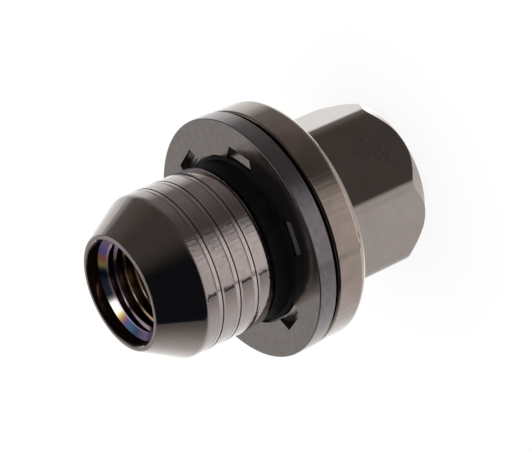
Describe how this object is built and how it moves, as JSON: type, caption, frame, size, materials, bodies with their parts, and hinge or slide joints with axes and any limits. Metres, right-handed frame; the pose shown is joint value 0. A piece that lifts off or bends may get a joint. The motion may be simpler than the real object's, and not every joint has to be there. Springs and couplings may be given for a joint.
{
  "type": "lug nut",
  "caption": "Shank lug nut with a hex head, fixed flange, captive spinning washer, black retaining ring, grooved shank, cone nose and blind threaded hole.",
  "frame": {"origin": "centre of the flat head face, on the axis, where the nut stands on its hex head", "axes": "+Z along the nut's axis from the head face to the cone nose; a corner of the hexagon points along -Y and flats face +X and -X"},
  "size_m": [0.0344, 0.0344, 0.044],
  "materials": {
    "black_chrome": "black chrome plating, mirror bright with a warm brown-grey tint",
    "washer_steel": "satin grey coated steel with a fine grain",
    "ring_black": "matte black moulded ring"
  },
  "bodies": {
    "nut": {"nut_body": "black_chrome", "retaining_ring": "ring_black"},
    "washer": {"captive_washer": "washer_steel"}
  },
  "joints": [
    {"name": "washer_spin", "type": "hinge", "parent": "nut", "child": "washer", "pos_m": [0, 0, 0.0226], "axis": [0, 0, 1], "continuous": true}
  ]
}
